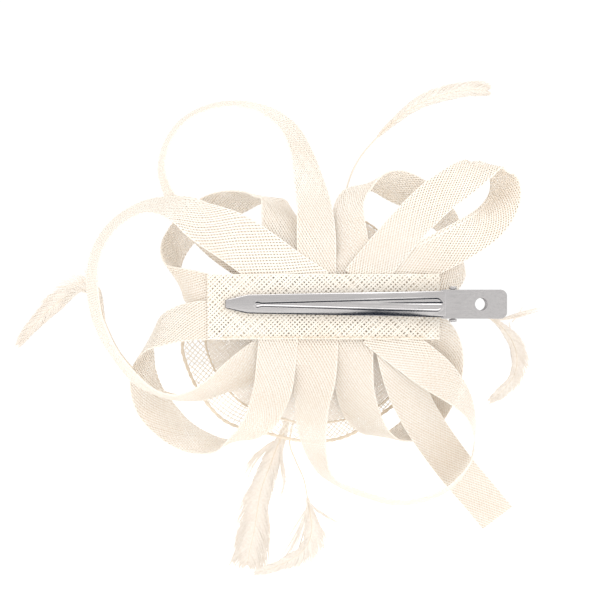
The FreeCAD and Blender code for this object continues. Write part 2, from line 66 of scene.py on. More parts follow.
# %% Camera
scene = bpy.context.scene
camera_data = bpy.data.cameras.new("camera")
camera_data.lens = 85.0
camera_data.sensor_width = 36.0
camera_data.clip_start = 0.01
camera = bpy.data.objects.new("camera", camera_data)
scene.collection.objects.link(camera)
camera.location = (-0.0137, -0.484, 0.0014)
camera.rotation_euler = (math.radians(90), 0, 0)
scene.camera = camera
scene.view_settings.view_transform = "Standard"

# %% [markdown]
# A white surround and large soft lights suit pale cloth: threads stay bright and only the
# folds go warm and dark, helped by painted shade on the lower threads and sleeve insides.
# Steel doesn't reflect the front light, which would whiten it; only steel sees the overhead
# one, as bright lines on the beads.

# %% Lights and surround


def soft_light(name, place, target, size, watts, colour):
    """A square area light that faces its target."""
    data = bpy.data.lights.new(name, "AREA")
    data.shape = "SQUARE"
    data.size = size
    data.energy = watts
    data.color = colour
    light = bpy.data.objects.new(name, data)
    light.location = place
    aim = Vector(target) - Vector(place)
    light.rotation_euler = aim.to_track_quat("-Z", "Y").to_euler()
    scene.collection.objects.link(light)
    return light


soft_light("key", (-0.5, -0.7, 0.8), (0, 0, 0), 0.5, 1.0, (1.0, 0.98, 0.95))
front = soft_light("front", (0.05, -0.95, 0.15), (0, 0, 0), 0.8, 0.9, (1.0, 0.985, 0.96))
front.visible_glossy = False
overhead = soft_light("overhead", (0, -0.22, 0.62), (0, 0, 0), 0.5, 1.7, (1.0, 1.0, 1.0))
overhead.visible_diffuse = False
soft_light("fill", (0.8, -0.6, 0.2), (0, 0, 0), 0.6, 0.6, (0.97, 0.98, 1.0))
soft_light("rim", (0.2, 0.8, 0.6), (0, 0, 0), 0.6, 1.2, (1.0, 0.98, 0.95))

surround = bpy.data.worlds.new("surround")
scene.world = surround
surround.use_nodes = True
sky = surround.node_tree
seen = sky.nodes["Background"]
seen.inputs["Color"].default_value = (1.0, 1.0, 1.0, 1)
seen.inputs["Strength"].default_value = 1.05
lighting = sky.nodes.new("ShaderNodeBackground")
lighting.inputs["Color"].default_value = (1.0, 0.99, 0.975, 1)
lighting.inputs["Strength"].default_value = 1.03
ray = sky.nodes.new("ShaderNodeLightPath")
either = sky.nodes.new("ShaderNodeMixShader")
sky.links.new(ray.outputs["Is Camera Ray"], either.inputs["Fac"])
sky.links.new(lighting.outputs["Background"], either.inputs[1])
sky.links.new(seen.outputs["Background"], either.inputs[2])
sky.links.new(either.outputs["Shader"], sky.nodes["World Output"].inputs["Surface"])


# %% [markdown]
# Polished steel shows its surroundings. A dark card below the clip darkens its lower side
# and the channel's walls; a pale floor lies under it all.

# %% Card and floor


def flag_card(name, place, target, size):
    """A black card that only reflections see, so that steel gets a dark side."""
    mesh = bpy.data.meshes.new(name)
    card = bmesh.new()
    bmesh.ops.create_grid(card, x_segments=1, y_segments=1, size=0.5)
    bmesh.ops.scale(card, verts=card.verts, vec=(size[0], size[1], 1))
    aim = (Vector(target) - Vector(place)).to_track_quat("Z", "Y").to_matrix()
    bmesh.ops.rotate(card, verts=card.verts, matrix=aim)
    bmesh.ops.translate(card, verts=card.verts, vec=place)
    card.to_mesh(mesh)
    card.free()
    black = bpy.data.materials.new(name)
    black.use_nodes = True
    black.node_tree.nodes["Principled BSDF"].inputs["Base Color"].default_value = (
        0.02, 0.03, 0.05, 1)
    black.node_tree.nodes["Principled BSDF"].inputs["Specular IOR Level"].default_value = 0
    mesh.materials.append(black)
    flag = bpy.data.objects.new(name, mesh)
    scene.collection.objects.link(flag)
    flag.visible_camera = False
    flag.visible_diffuse = False
    flag.visible_shadow = False


flag_card("low_flag", (0, -0.17, -0.155), (0, -0.17, 0), (0.9, 0.26))

floor_mesh = bpy.data.meshes.new("floor")
bm = bmesh.new()
bmesh.ops.create_grid(bm, x_segments=4, y_segments=4, size=3.0)
bmesh.ops.translate(bm, verts=bm.verts, vec=(0, 0, -0.16))
bm.to_mesh(floor_mesh)
bm.free()
floor = bpy.data.objects.new("floor", floor_mesh)
scene.collection.objects.link(floor)

# %% [markdown]
# Shared finishes are built once as node groups. "Fibre tone" gives plant-fibre cloth its
# slow drift between a paler and a warmer ivory, with a finer streak on top, because dyed
# fibre never takes colour evenly. The group hands out only a colour and a height. The
# shader itself stays in each material, where a viewer or an exporter can read it.

# %% Shader helpers


def new_group(name, inputs, outputs):
    """A shader node group with its sockets; returns the tree, its input and output nodes."""
    tree = bpy.data.node_groups.new(name, "ShaderNodeTree")
    for label, kind, value in inputs:
        socket = tree.interface.new_socket(label, in_out="INPUT", socket_type=kind)
        socket.default_value = value
    for label, kind in outputs:
        tree.interface.new_socket(label, in_out="OUTPUT", socket_type=kind)
    return tree, tree.nodes.new("NodeGroupInput"), tree.nodes.new("NodeGroupOutput")


def noise(tree, vector, scale, detail=2.0):
    node = tree.nodes.new("ShaderNodeTexNoise")
    node.inputs["Scale"].default_value = scale
    node.inputs["Detail"].default_value = detail
    tree.links.new(vector, node.inputs["Vector"])
    return node.outputs["Fac"]


def span(tree, value, low, high, to_low=0.0, to_high=1.0):
    node = tree.nodes.new("ShaderNodeMapRange")
    node.inputs["From Min"].default_value = low
    node.inputs["From Max"].default_value = high
    node.inputs["To Min"].default_value = to_low
    node.inputs["To Max"].default_value = to_high
    tree.links.new(value, node.inputs["Value"])
    return node.outputs["Result"]


def blend_colours(tree, share, first, second, kind="MIX"):
    node = tree.nodes.new("ShaderNodeMix")
    node.data_type = "RGBA"
    node.blend_type = kind
    tree.links.new(share, node.inputs["Factor"])
    for socket, value in ((node.inputs[6], first), (node.inputs[7], second)):
        if isinstance(value, tuple):
            socket.default_value = value
        else:
            tree.links.new(value, socket)
    return node.outputs[2]


fibre_tone, into, out = new_group(
    "fibre tone",
    [("Pale", "NodeSocketColor", (0.9, 0.85, 0.76, 1)),
     ("Warm", "NodeSocketColor", (0.8, 0.68, 0.52, 1)),
     ("Patch size", "NodeSocketFloat", 60.0)],
    [("Color", "NodeSocketColor"), ("Height", "NodeSocketFloat")])
places = fibre_tone.nodes.new("ShaderNodeTexCoord")
patches = fibre_tone.nodes.new("ShaderNodeTexNoise")
fibre_tone.links.new(places.outputs["Object"], patches.inputs["Vector"])
fibre_tone.links.new(into.outputs["Patch size"], patches.inputs["Scale"])
patches.inputs["Detail"].default_value = 3.0
streaks = noise(fibre_tone, places.outputs["Object"], 1400.0, 1.0)
drift = span(fibre_tone, patches.outputs["Fac"], 0.35, 0.7)
tone = blend_colours(fibre_tone, drift, into.outputs["Pale"], into.outputs["Warm"])
darker = span(fibre_tone, streaks, 0.3, 0.75, 0.0, 0.22)
tone = blend_colours(fibre_tone, darker, tone, (0.62, 0.48, 0.33, 1))
fibre_tone.links.new(tone, out.inputs["Color"])
fibre_tone.links.new(streaks, out.inputs["Height"])


def use_group(tree, group, **values):
    node = tree.nodes.new("ShaderNodeGroup")
    node.node_tree = group
    for label, value in values.items():
        node.inputs[label.replace("_", " ")].default_value = value
    return node


def bare_material(name, colour, roughness, metallic=0.0):
    material = bpy.data.materials.new(name)
    material.use_nodes = True
    shader = material.node_tree.nodes["Principled BSDF"]
    shader.inputs["Base Color"].default_value = colour
    shader.inputs["Roughness"].default_value = roughness
    shader.inputs["Metallic"].default_value = metallic
    return material, material.node_tree, shader


def add_bump(tree, height, shader, distance, strength=1.0):
    bump = tree.nodes.new("ShaderNodeBump")
    bump.inputs["Distance"].default_value = distance
    bump.inputs["Strength"].default_value = strength
    tree.links.new(height, bump.inputs["Height"])
    tree.links.new(bump.outputs["Normal"], shader.inputs["Normal"])


def fibre_material(name, pale, warm, roughness=0.55, sheen=0.25, patch=60.0):
    """Plant-fibre cloth: toned thread with a dry sheen."""
    material, tree, shader = bare_material(name, pale, roughness)
    toned = use_group(tree, fibre_tone, Pale=pale, Warm=warm, Patch_size=patch)
    tree.links.new(toned.outputs["Color"], shader.inputs["Base Color"])
    shader.inputs["Sheen Weight"].default_value = sheen
    shader.inputs["Sheen Roughness"].default_value = 0.5
    add_bump(tree, toned.outputs["Height"], shader, 0.00004)
    return material


strip_fibre = fibre_material("strip fibre", (0.97, 0.935, 0.88, 1), (0.96, 0.905, 0.83, 1))
# Threads lying beneath others, and the inner side of the top threads: a darker ivory that
# paints the shade cast on them.
under_painted_shade = fibre_material("under thread, painted shade", (0.92, 0.85, 0.76, 1), (0.90, 0.81, 0.71, 1))
# The sleeve's inside: a deeper tan that paints the shade within the folded sleeve.
inside_painted_shade = fibre_material("shaded inside", (0.88, 0.79, 0.67, 1), (0.84, 0.73, 0.60, 1))
fold_fibre = fibre_material("folded edge fibre", (0.97, 0.93, 0.87, 1), (0.96, 0.90, 0.83, 1))
base_fibre = fibre_material("base fibre", (0.96, 0.92, 0.85, 1), (0.95, 0.89, 0.80, 1))
# Inner sides of the base threads: a darker ivory that paints the shade inside the folded base.
base_inside_painted_shade = fibre_material("base inside, painted shade", (0.94, 0.88, 0.79, 1), (0.91, 0.83, 0.72, 1))
disc_fibre = fibre_material("disc fibre", (0.98, 0.94, 0.89, 1), (0.97, 0.92, 0.86, 1))
net_fibre = fibre_material("net fibre", (0.94, 0.90, 0.84, 1), (0.92, 0.87, 0.80, 1))
cord_fibre = fibre_material("rim cord", (0.90, 0.81, 0.69, 1), (0.84, 0.73, 0.60, 1), 0.7)
tan_thread = fibre_material("tan thread", (0.84, 0.74, 0.61, 1), (0.76, 0.64, 0.50, 1), 0.7)
plume = fibre_material("plume", (0.90, 0.85, 0.79, 1), (0.87, 0.80, 0.73, 1), 0.6, 0.4)
quill_horn = fibre_material("quill horn", (0.86, 0.78, 0.67, 1), (0.80, 0.70, 0.58, 1), 0.4)
floor_white, floor_tree, floor_shader = bare_material("floor white", (0.93, 0.93, 0.92, 1), 0.8)
floor_shader.inputs["Emission Color"].default_value = (1, 1, 1, 1)
floor_shader.inputs["Emission Strength"].default_value = 0.28
floor_mesh.materials.append(floor_white)

# %% [markdown]
# Each strip runs along a smooth curve in space and leans as it goes: flat against the
# base where it is sewn, up on edge where it stands as a loop. A short table of places,
# leans and width shares describes the run. The helper below turns such a table into many
# close places with a direction across the strip and one out of its face, and then bends
# flat cloth along them.

# %% Strip runs
strip_width = 13.4
first_layer = 2.3
layer_pitch = 0.7


def under(layer):
    """Depth of a strip end in the pile behind the base, in millimetres."""
    return first_layer + (layer - 1) * layer_pitch


loop_runs = {
    "loop_top": [
        (-7.5, under(2), 3.0, 0), (-8.0, under(2), 12.0, 0), (-8.0, under(2) + 0.1, 20.0, 0),
        (-8.2, 4.6, 27.0, 13), (-8.6, 6.2, 33.5, 25), (-10.5, 8.6, 43.0, 40),
        (-13.3, 11.0, 53.8, 56), (-17.8, 13.0, 62.2, 63), (-25.2, 14.0, 67.8, 70),
        (-35.5, 14.5, 70.4, 74), (-46.2, 15.0, 69.2, 75), (-55.4, 15.5, 64.2, 75),
        (-61.0, 16.6, 56.2, 75), (-62.8, 18.0, 47.8, 75), (-60.2, 19.2, 38.8, 73),
        (-54.0, 16.4, 30.5, 58), (-44.0, 12.2, 22.5, 32), (-33.0, 8.0, 15.5, 12),
        (-23.0, under(5) + 0.5, 9.5, 3), (-17.0, under(5), 5.5, 0)],
    "loop_left": [
        (-8.0, under(1), 4.0, 0, 1.2), (-19.0, under(1), 10.6, 0, 1.3),
        (-28.0, under(1) + 0.05, 17.0, 0, 1.32), (-36.6, 3.1, 22.9, 8, 1.3),
        (-47.9, 4.4, 28.7, 30, 1.2), (-53.7, 5.0, 32.3, 42, 1.1), (-61.6, 6.3, 34.2, 60),
        (-68.8, 7.3, 33.4, 68), (-76.4, 8.2, 29.2, 69), (-81.4, 8.6, 24.0, 68),
        (-84.7, 8.8, 17.6, 67), (-86.0, 8.8, 10.8, 66), (-85.8, 8.6, 4.0, 66),
        (-84.4, 8.2, -4.0, 67), (-82.0, 7.8, -10.6, 69), (-78.8, 7.4, -16.2, 72),
        (-74.9, 7.0, -21.5, 71), (-70.5, 6.6, -26.1, 71), (-65.0, 6.4, -30.0, 77),
        (-58.0, 6.3, -32.3, 79), (-51.6, 6.2, -32.0, 73), (-47.0, 6.1, -30.6, 64),
        (-42.5, 6.0, -28.2, 57), (-36.6, 6.0, -24.6, 40), (-30.0, 5.4, -20.6, 20),
        (-24.5, under(4) + 0.1, -17.2, 4), (-19.5, under(4), -14.2, 0)],
    "loop_back_left": [
        (-20.5, under(3), 3.5, 0), (-20.5, under(3), 13.0, 0), (-20.4, 5.6, 21.5, 8),
        (-20.8, 8.5, 30.5, 26), (-23.0, 14.0, 36.5, 65), (-29.0, 19.0, 38.0, 100),
        (-37.0, 23.0, 36.5, 128), (-46.0, 26.3, 33.5, 140), (-53.5, 27.2, 28.0, 138),
        (-58.0, 25.0, 22.0, 132), (-59.6, 19.0, 16.0, 118), (-58.4, 13.5, 10.5, 92),
        (-54.5, 9.0, 7.0, 48), (-49.0, 5.0, 4.6, 14), (-44.0, under(2) + 0.25, 3.3, 0),
        (-38.0, under(2), 2.7, 0)],
    "loop_lower_left": [
        (-38.0, under(1), -5.6, 0), (-45.5, under(1), -5.6, 0), (-50.0, 2.9, -5.8, 9),
        (-55.5, 4.3, -6.8, 25), (-61.5, 6.2, -9.2, 45), (-65.4, 8.8, -11.8, 70),
        (-67.7, 12.0, -14.8, 90), (-69.0, 15.5, -18.7, 110), (-69.6, 19.0, -24.6, 127),
        (-68.0, 20.5, -32.0, 143), (-64.8, 20.0, -37.6, 154), (-58.8, 18.5, -43.8, 142),
        (-54.4, 17.0, -46.8, 133), (-48.6, 15.0, -49.1, 122), (-42.0, 12.8, -49.8, 103),
        (-36.0, 10.8, -47.5, 75), (-30.5, 8.8, -44.0, 52), (-26.6, 7.0, -39.0, 34),
        (-24.3, 5.2, -33.2, 20), (-22.8, 3.7, -28.0, 9), (-21.9, under(1) + 0.1, -20.0, 0),
        (-21.2, under(1), -13.0, 0), (-20.8, under(1), -7.0, 0)],
    "loop_top_right": [
        (28.0, under(3), 2.0, 0), (35.0, 4.7, 8.0, 6), (40.5, 9.6, 14.0, 34),
        (42.4, 14.5, 20.0, 78), (40.3, 18.0, 26.5, 116), (34.5, 19.5, 33.0, 138),
        (28.0, 19.7, 38.5, 147), (20.8, 18.5, 41.8, 146), (15.6, 16.5, 43.2, 122),
        (12.0, 14.5, 42.9, 98), (8.2, 12.5, 41.3, 72), (5.0, 10.3, 38.4, 54),
        (3.2, 8.2, 34.3, 44), (2.9, 6.4, 29.0, 34), (3.2, 5.3, 23.0, 20),
        (4.2, under(3) + 0.2, 16.0, 5), (5.0, under(3), 6.0, 0)],
    "loop_upper_right": [
        (15.0, under(2), 8.5, 180), (22.5, under(2), 12.3, 180), (31.0, 3.2, 16.2, 179),
        (39.3, 3.8, 20.4, 176), (46.0, 5.2, 24.2, 168), (52.0, 8.6, 28.6, 158),
        (56.3, 13.0, 33.8, 148), (58.5, 17.4, 39.5, 140), (57.8, 18.8, 45.2, 118),
        (53.5, 15.0, 49.0, 82), (48.8, 10.8, 47.6, 45), (44.8, 8.4, 45.0, 28),
        (40.4, 7.0, 41.9, 19), (35.2, 6.0, 38.3, 13), (30.5, 5.1, 34.2, 10),
        (25.3, 4.2, 29.0, 7), (20.2, under(1) + 0.4, 23.4, 3), (15.4, under(1), 17.8, 0),
        (10.8, under(1), 12.3, 0), (7.0, under(1), 7.5, 0)],
    "loop_bottom": [
        (-8.2, under(2), -4.5, 0, 1.1), (-8.2, under(2), -12.0, 0, 1.12),
        (-8.3, under(2) + 0.1, -20.0, 0, 1.1), (-8.9, 4.9, -27.7, 14, 1.08),
        (-9.6, 5.6, -34.5, 30), (-9.7, 6.6, -41.4, 40), (-9.2, 7.6, -47.2, 50),
        (-7.9, 8.4, -52.7, 60), (-5.6, 8.8, -58.0, 70), (-1.8, 8.8, -61.8, 78),
        (4.1, 8.6, -64.6, 76), (11.0, 8.3, -67.0, 76), (18.8, 7.9, -68.9, 75),
        (25.7, 7.5, -68.6, 75), (32.5, 7.0, -66.7, 75), (38.3, 6.5, -63.4, 76),
        (42.4, 6.1, -59.2, 78), (45.2, 5.8, -54.7, 82), (46.5, 5.6, -49.8, 84),
        (46.5, 5.4, -43.8, 80), (45.2, 5.1, -38.0, 70), (42.4, 4.7, -32.9, 55),
        (38.3, 4.1, -28.4, 38), (32.8, 3.1, -23.8, 16), (26.7, under(1) + 0.05, -19.2, 1),
        (20.5, under(1), -14.6, 0), (15.4, under(1), -10.7, 0), (12.0, under(1), -8.0, 0)],
    "loop_lower_right": [
        (4.6, under(3), -5.0, 0), (4.8, under(3), -14.0, 0), (4.9, 5.2, -22.6, 6),
        (5.6, 6.8, -31.0, 14), (8.2, 9.0, -38.8, 30), (12.9, 12.0, -45.0, 60),
        (18.8, 16.6, -47.2, 96), (25.6, 20.0, -45.0, 125), (31.5, 20.0, -39.7, 138),
        (35.2, 18.0, -33.2, 142), (37.3, 14.8, -26.0, 144), (37.2, 11.6, -18.8, 150),
        (34.8, 7.8, -12.8, 166), (31.0, under(4) + 0.3, -8.8, 180),
        (27.0, under(4), -6.0, 180)],
    "tail_strip": [
        (17.8, under(2), -9.0, 0), (19.2, under(2) + 0.2, -15.7, 0), (20.9, 4.5, -22.6, 2),
        (23.6, 7.0, -30.4, 4), (27.4, 9.2, -38.0, 5), (32.1, 11.2, -45.5, 6),
        (37.3, 13.7, -52.7, 8), (43.0, 15.8, -60.0, 8), (48.6, 17.6, -66.5, 8),
        (56.5, 19.2, -76.0, 8)]}


def smooth_run(rows, per_knot=24):
    """Close rows along a smooth curve through the given ones, in metres and radians."""
    table = np.array([tuple(row) + (1.0,) * (5 - len(row)) for row in rows])
    at = np.concatenate([[0], np.cumsum(np.linalg.norm(np.diff(table[:, :3], axis=0), axis=1))])
    slope = np.empty_like(table)
    slope[1:-1] = (table[2:] - table[:-2]) / (at[2:] - at[:-2])[:, None]
    slope[0] = (table[1] - table[0]) / (at[1] - at[0])
    slope[-1] = (table[-1] - table[-2]) / (at[-1] - at[-2])
    out = []
    for i in range(len(table) - 1):
        h = at[i + 1] - at[i]
        for t in np.arange(per_knot) / per_knot:
            out.append((2 * t ** 3 - 3 * t ** 2 + 1) * table[i]
                       + (t ** 3 - 2 * t ** 2 + t) * h * slope[i]
                       + (3 * t ** 2 - 2 * t ** 3) * table[i + 1]
                       + (t ** 3 - t ** 2) * h * slope[i + 1])
    out.append(table[-1])
    out = np.array(out)
    out[:, :3] *= mm
    out[:, 3] = np.radians(out[:, 3])
    return out


def unit(rows):
    return rows / np.linalg.norm(rows, axis=1)[:, None]


class Run:
    """A strip's run: places, directions across and out of the face, and distance along."""

    def __init__(self, rows, width=strip_width * mm):
        spots = smooth_run(rows)
        self.place = spots[:, :3]
        along = unit(np.gradient(self.place, axis=0))
        flat = unit(np.cross([0.0, 1.0, 0.0], along))
        deep = np.cross(along, flat)
        lean = spots[:, 3:4]
        self.across = flat * np.cos(lean) + deep * np.sin(lean)
        self.normal = np.cross(along, self.across)
        self.share = spots[:, 4]
        steps = np.linalg.norm(np.diff(self.place, axis=0), axis=1)
        self.at = np.concatenate([[0], np.cumsum(steps)])
        self.length = self.at[-1]
        self.width = width

    def bend(self, flat):
        """Moves flat cloth (x along, y across, z out of the face) onto the run."""
        s = np.clip(flat[:, 0], 0, self.length)

        def pick(rows):
            return np.stack([np.interp(s, self.at, rows[:, k]) for k in range(3)], axis=1)

        share = np.interp(s, self.at, self.share)[:, None]
        return (pick(self.place) + unit(pick(self.across)) * flat[:, 1:2] * share
                + unit(pick(self.normal)) * flat[:, 2:3])


runs = {name: Run(rows) for name, rows in loop_runs.items()}
for name, run in runs.items():
    print(name, "length", round(run.length, 4))

# %% [markdown]
# The cloth is sinamay: stiff, round-section plant fibre woven so openly that light comes
# through. The strips are cut on the bias, folded lengthwise into a flat sleeve and pulled,
# so the threads close up to a narrow slant along the strip and the holes become long
# diamonds. A painted weave would be lost from the side, so each thread is real: a
# narrow flat grid, copied again and again by doubling, slanted one way on one layer and
# the other way on the next, then cut off clean where the sleeve folds.

# %% Woven sleeves


def copy_by_doubling(bm, geom, count, step):
    """Repeats geometry count times or more, each copy one step further on."""
    have = 1
    while have < count:
        copied = bmesh.ops.duplicate(bm, geom=geom)["geom"]
        moved = [g for g in copied if isinstance(g, bmesh.types.BMVert)]
        bmesh.ops.translate(bm, verts=moved, vec=Vector(step) * have)
        geom = geom + copied
        have *= 2
    return geom


def trim(bm, place, outward):
    """Cuts away what lies past a plane."""
    geom = bm.verts[:] + bm.edges[:] + bm.faces[:]
    bmesh.ops.bisect_plane(bm, geom=geom, plane_co=place, plane_no=outward,
                           clear_outer=True, dist=1e-7)


def thread_layer(length, width, pitch, thread, slant, height, steps, wobble, seed, phase=0.0):
    """One family of parallel threads, trimmed to length and width; phase is in pitches."""
    chance = random.Random(seed)
    bm = bmesh.new()
    bmesh.ops.create_grid(bm, x_segments=steps, y_segments=1, size=0.5)
    full = width / abs(math.sin(slant)) + 2 * thread
    bmesh.ops.scale(bm, verts=bm.verts, vec=(full, thread, 1))
    bmesh.ops.rotate(bm, verts=bm.verts, matrix=Matrix.Rotation(slant, 3, "Z"))
    reach = width / abs(math.tan(slant)) / 2
    step = pitch / abs(math.sin(slant))
    bmesh.ops.translate(bm, verts=bm.verts, vec=(-reach - phase * step, 0, height))
    each = len(bm.verts)
    count = int((length + 2 * reach) / step) + 3
    copy_by_doubling(bm, bm.verts[:] + bm.edges[:] + bm.faces[:], count, (step, 0, 0))
    bm.verts.ensure_lookup_table()
    for number in range(len(bm.verts) // each):
        shift = chance.gauss(0, wobble)
        turn = chance.gauss(0, wobble * 0.4)
        for vert in bm.verts[number * each:(number + 1) * each]:
            vert.co.x += shift + turn * vert.co.y / (width / 2)
    trim(bm, (0, 0, 0), (-1, 0, 0))
    trim(bm, (length, 0, 0), (1, 0, 0))
    trim(bm, (0, width / 2, 0), (0, 1, 0))
    trim(bm, (0, -width / 2, 0), (0, -1, 0))
    return bm


def pour(bm, target, material=0):
    """Adds one mesh's geometry to another and empties it."""
    for face in bm.faces:
        face.material_index = material
    carrier = bpy.data.meshes.new("carrier")
    bm.to_mesh(carrier)
    bm.free()
    target.from_mesh(carrier)
    bpy.data.meshes.remove(carrier)


def edge_cord(length, offset, height, across, thick, steps):
    """A slim round cord along the cloth at an offset from its middle line."""
    bm = bmesh.new()
    bmesh.ops.create_circle(bm, segments=6, radius=0.5, cap_ends=False)
    bmesh.ops.rotate(bm, verts=bm.verts, matrix=Matrix.Rotation(math.radians(90), 3, "Y"))
    bmesh.ops.scale(bm, verts=bm.verts, vec=(1, across, thick))
    bmesh.ops.translate(bm, verts=bm.verts, vec=(0, offset, height))
    rim = bm.edges[:]
    bmesh.ops.spin(bm, geom=rim, cent=(0, 0, 0), axis=(0, 0, 1), dvec=(length / steps, 0, 0),
                   angle=0, steps=steps)
    bmesh.ops.recalc_face_normals(bm, faces=bm.faces)
    return bm


def woven_sleeve(length, width, pitch, thread, slant, steps=9, seed=1):
    """Two woven layers; the far one is half a pitch along, so crossings close the holes."""
    cloth = bmesh.new()
    tilt = math.radians(slant)
    for side in (1, -1):
        for family in (1, -1):
            height = side * 0.00025 + family * 0.00003
            layer = thread_layer(length, width, pitch, thread, tilt * family, height, steps,
                                 pitch * 0.08, seed + side * 2 + family,
                                 0.0 if side > 0 else 0.5)
            if side < 0:
                bmesh.ops.reverse_faces(layer, faces=layer.faces)
            # The thread family that lies beneath the other in each layer takes the second,
            # darker finish: painted shade.
            pour(layer, cloth, 0 if family * side > 0 else 1)
    return cloth


def finish_piece(name, bm, materials, bend=None):
    """Bends a flat mesh into place, adds an object for it and gives it its materials."""
    mesh = bpy.data.meshes.new(name)
    if bend is not None:
        uv = bm.loops.layers.uv.new("OFBake")
        far = max(v.co.x for v in bm.verts)
        half = max(abs(v.co.y) for v in bm.verts)
        for face in bm.faces:
            for loop in face.loops:
                x, y, z = loop.vert.co
                shift = 0.0 if z > 0 else 0.5
                loop[uv].uv = (shift + 0.25 + 0.24 * y / half, 0.01 + 0.98 * x / far)
    bm.to_mesh(mesh)
    bm.free()
    if bend is not None:
        flat = np.empty(len(mesh.vertices) * 3, dtype=np.float32)
        mesh.vertices.foreach_get("co", flat)
        placed = bend(flat.reshape(-1, 3).astype(float))
        mesh.vertices.foreach_set("co", placed.astype(np.float32).ravel())
        mesh.update()
    for material in materials:
        mesh.materials.append(material)
    piece = bpy.data.objects.new(name, mesh)
    scene.collection.objects.link(piece)
    return piece


def add_thickness(piece, thick):
    """Gives flat threads their body, inwards; the inner side takes the next material, which on
    strips and base is a darker painted shade.
    """
    solid = piece.modifiers.new("thickness", "SOLIDIFY")
    solid.thickness = thick
    solid.offset = -1
    solid.material_offset = 1
    return solid


def make_strip(name, run, node, pitch=0.00084, thread=0.00042, slant=30, seed=1):
    """A woven sleeve with its folded edges, bent along a run in place of a CAD node."""
    width = run.width
    cloth = woven_sleeve(run.length, width, pitch, thread, slant, seed=seed)
    # The second and third finishes paint shade on the lower threads and on the sleeve's inside.
    strip = finish_piece(name, cloth, [strip_fibre, under_painted_shade, inside_painted_shade], run.bend)
    add_thickness(strip, 0.00010)
    edges = bmesh.new()
    steps = int(run.length / 0.0016)
    for side in (1, -1):
        pour(edge_cord(run.length, side * (width / 2 - 0.00015), 0, 0.0004, 0.00052, steps),
             edges)
    pour(edge_cord(run.length, width / 2 - 0.0014, 0.00027, 0.00035, 0.0001, steps), edges)
    folds = finish_piece(name + "_folds", edges, [fold_fibre], run.bend)
    for piece in (strip, folds):
        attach(piece, "headpiece")
    if node:
        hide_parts(node)
    print(name, len(strip.data.polygons), "thread faces")


for number, (name, run) in enumerate(runs.items()):
    thread = 0.00046 if name == "loop_left" else 0.00042
    make_strip(name + "_weave", run, name, thread=thread, seed=10 * number)

# %% [markdown]
# The base is a wider piece of the same cloth, folded square instead of pulled, so its
# threads still cross at right angles and the holes are coarse. It is as long as the grip
# and lies flat between the clip and the sewn ends. The same layers of thread make it, with
# a wider pitch and a slant of 45 degrees; short tan stitches close its lower edge.

# %% Base strip and hem stitches
low, high = (np.array(corner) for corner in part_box("base_strip"))
base_length = high[0] - low[0]
base_width = high[2] - low[2]
base_middle = (low[1] + high[1]) / 2
base_rows = [(low[0] / mm, base_middle / mm, (low[2] + high[2]) / 2 / mm, 0),
             (0, base_middle / mm, (low[2] + high[2]) / 2 / mm, 0),
             (high[0] / mm, base_middle / mm, (low[2] + high[2]) / 2 / mm, 0)]
base_run = Run(base_rows, base_width)
base_pitch, base_thread = 0.00108, 0.00062
cloth = bmesh.new()
for side in (1, -1):
    for family in (1, -1):
        layer = thread_layer(base_length, base_width, base_pitch, base_thread,
                             math.radians(45) * family, side * 0.00030 + family * 0.00006, 12,
                             0.00018, 300 + side * 2 + family)
        if side < 0:
            bmesh.ops.reverse_faces(layer, faces=layer.faces)
        pour(layer, cloth, 0)
# The inner shell of the base threads takes the second, darker finish: painted shade.
base = finish_piece("base_weave", cloth, [base_fibre, base_inside_painted_shade], base_run.bend)
add_thickness(base, 0.00014)
edges = bmesh.new()
for side in (1, -1):
    pour(edge_cord(base_length, side * (base_width / 2 - 0.0003), 0, 0.0006, 0.0008, 60), edges)
base_folds = finish_piece("base_folds", edges, [base_fibre], base_run.bend)
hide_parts("base_strip")

hem_low, hem_high = (np.array(corner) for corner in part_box("hem_stitching"))
stitch_radius, stitch_length, stitch_step = 0.00022, 0.0017, 0.0021
stitches = bmesh.new()
bmesh.ops.create_cone(stitches, cap_ends=True, segments=6, radius1=stitch_radius,
                      radius2=stitch_radius, depth=stitch_length)
bmesh.ops.rotate(stitches, verts=stitches.verts,
                 matrix=Matrix.Rotation(math.radians(84), 3, "Y"))
bmesh.ops.translate(stitches, verts=stitches.verts,
                    vec=(hem_low[0] + 0.001, hem_low[1] + 0.0003,
                         (hem_low[2] + hem_high[2]) / 2))
copy_by_doubling(stitches, stitches.verts[:] + stitches.edges[:] + stitches.faces[:],
                 int((hem_high[0] - hem_low[0]) / stitch_step), (stitch_step, 0, 0))
trim(stitches, (hem_high[0], 0, 0), (1, 0, 0))
hem = finish_piece("hem_stitches", stitches, [tan_thread])
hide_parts("hem_stitching")
for piece, slot in ((base, "base_mesh"), (base_folds, "base_mesh"), (hem, "thread")):
    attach(piece, "headpiece")
    print(piece.name, len(piece.data.polygons), "faces")

# %% [markdown]
# Two round discs stand behind the loops. The inner one is close cloth; the outer one is an
# open net with a corded rim. Both are dished and wavy, and neither is a true circle. Their
# threads are laid out inside a circle of radius one, where a chord's length is easy to
# find, and then pushed out to the wavy rim and back along the dish.

